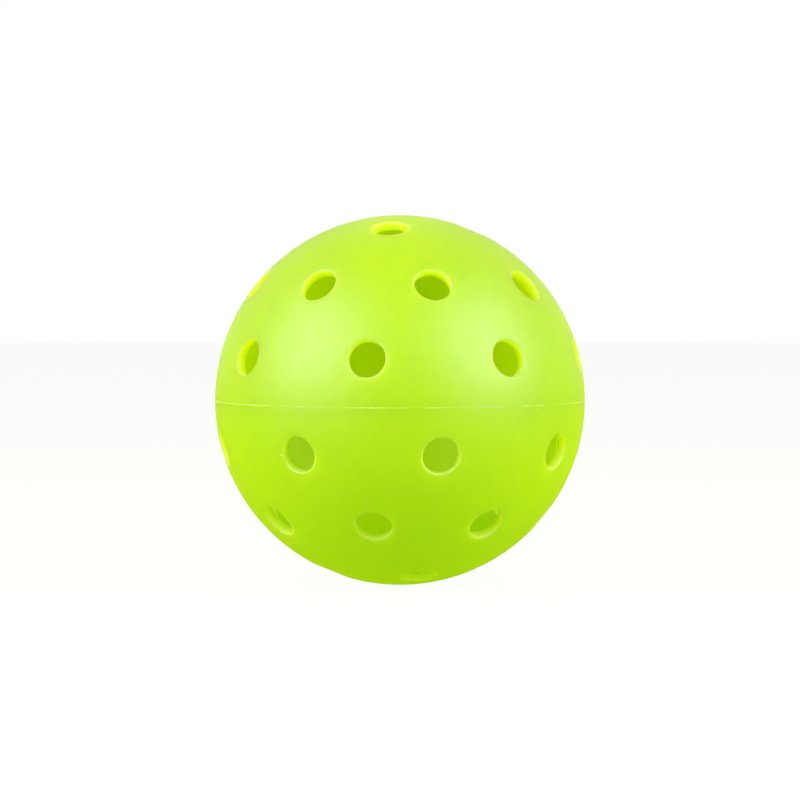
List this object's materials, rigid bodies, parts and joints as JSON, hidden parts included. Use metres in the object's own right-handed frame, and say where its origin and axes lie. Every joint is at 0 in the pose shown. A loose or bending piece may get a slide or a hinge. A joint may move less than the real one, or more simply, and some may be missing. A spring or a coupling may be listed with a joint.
{
  "type": "pickleball ball",
  "caption": "Hollow lime plastic pickleball made of two perforated half shells welded at the equator, for outdoor racket play.",
  "frame": {"origin": "centre of the ball", "axes": "+Z through the pole of the hole rings, square to the weld, from the lower half shell to the upper one; azimuth 0 is -Y and azimuths turn towards +X"},
  "size_m": [0.0741, 0.0742, 0.074],
  "materials": {
    "lime_shell": "satin",
    "weld_plastic": "satin"
  },
  "bodies": {
    "root": {"upper_half_shell": "lime_shell", "lower_half_shell": "lime_shell", "outer_weld_flash": "weld_plastic", "inner_weld_bead": "weld_plastic"}
  },
  "joints": []
}
